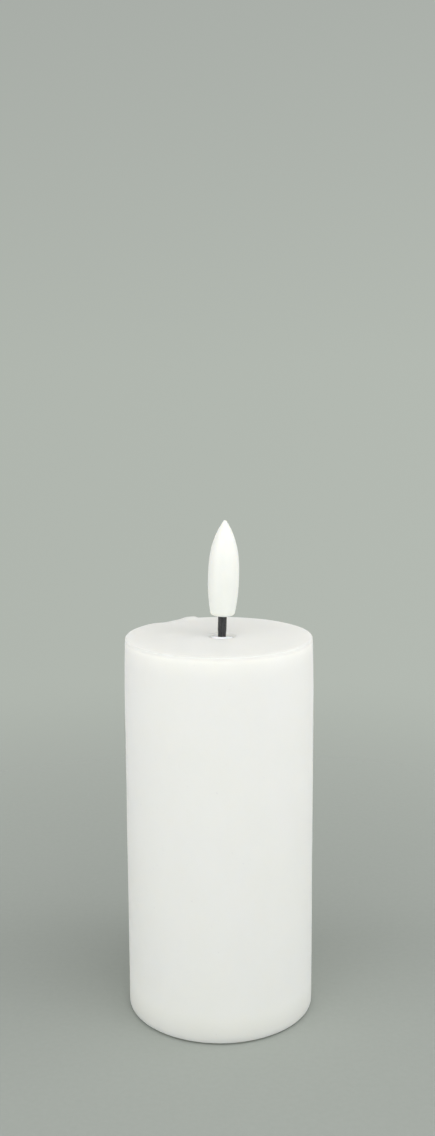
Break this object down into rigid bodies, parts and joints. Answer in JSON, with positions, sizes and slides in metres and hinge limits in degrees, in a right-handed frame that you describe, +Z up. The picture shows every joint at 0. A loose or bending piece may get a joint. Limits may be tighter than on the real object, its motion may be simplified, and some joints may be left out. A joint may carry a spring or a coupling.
{
  "type": "flameless led candle",
  "caption": "Battery LED pillar candle: hollow wax pillar with a black wick, a bullet-shaped flame diffuser, a hinged battery door and a slide switch underneath.",
  "frame": {"origin": "centre of the foot ring, on the surface that the candle stands on", "axes": "+Z up along the pillar, -Y towards the side with the switch, +X to the right seen from that side; the wick leans slightly towards +X"},
  "size_m": [0.05, 0.05, 0.1326],
  "materials": {
    "wax_shell": "satin wax, ivory white",
    "inner_liner": "satin, white",
    "foot_ring": "satin, pale grey",
    "wick_ferrule": "semi-gloss, cool white",
    "ferrule_nut": "satin, white",
    "wick_tube": "satin, black",
    "flame_bulb": "frosted, milky white",
    "flame_led": "clear warm-white lens",
    "led_leads": "tinned",
    "battery_case": "satin, white",
    "battery_door": "satin, white",
    "door_contact": "nickel-plated",
    "door_spring": "nickel-plated",
    "positive_contact": "nickel-plated",
    "negative_contact": "nickel-plated",
    "negative_spring": "nickel-plated",
    "battery_left": "bare steel can",
    "battery_right": "bare steel can",
    "battery_left_sleeve": "printed film",
    "battery_right_sleeve": "printed film",
    "circuit_board": "solder mask, green",
    "control_chip": "moulded black",
    "chip_legs": "tinned",
    "timing_crystal": "bright can",
    "chip_resistors": "matt black",
    "buffer_capacitor": "bright can",
    "switch_frame": "bright",
    "switch_base": "brown laminate",
    "switch_pins": "tinned",
    "switch_lever": "black",
    "switch_slider": "satin, black",
    "board_screws": "zinc-plated",
    "case_screws": "zinc-plated",
    "red_battery_wire": "PVC insulation, red",
    "black_battery_wire": "PVC insulation, black",
    "red_led_wire": "PVC insulation, red",
    "black_led_wire": "PVC insulation, black"
  },
  "bodies": {
    "root": {"wax_shell": "wax_shell", "inner_liner": "inner_liner", "foot_ring": "foot_ring", "wick_ferrule": "wick_ferrule", "ferrule_nut": "ferrule_nut", "wick_tube": "wick_tube", "flame_bulb": "flame_bulb", "flame_led": "flame_led", "led_leads": "led_leads", "battery_case": "battery_case", "positive_contact": "positive_contact", "negative_contact": "negative_contact", "negative_spring": "negative_spring", "battery_left": "battery_left", "battery_right": "battery_right", "battery_left_sleeve": "battery_left_sleeve", "battery_right_sleeve": "battery_right_sleeve", "circuit_board": "circuit_board", "control_chip": "control_chip", "chip_legs": "chip_legs", "timing_crystal": "timing_crystal", "chip_resistors": "chip_resistors", "buffer_capacitor": "buffer_capacitor", "switch_frame": "switch_frame", "switch_base": "switch_base", "switch_pins": "switch_pins", "board_screws": "board_screws", "case_screws": "case_screws", "red_battery_wire": "red_battery_wire", "black_battery_wire": "black_battery_wire", "red_led_wire": "red_led_wire", "black_led_wire": "black_led_wire"},
    "door": {"battery_door": "battery_door", "door_contact": "door_contact", "door_spring": "door_spring"},
    "slider": {"switch_slider": "switch_slider", "switch_lever": "switch_lever"}
  },
  "joints": [
    {"name": "battery_door_hinge", "type": "hinge", "parent": "root", "child": "door", "pos_m": [0, 0.0143, 0.0025], "axis": [1, 0, 0], "range_deg": [0, 95]},
    {"name": "switch_slide", "type": "slide", "parent": "root", "child": "slider", "axis": [1, 0, 0], "range_m": [-0.002, 0.002]}
  ]
}
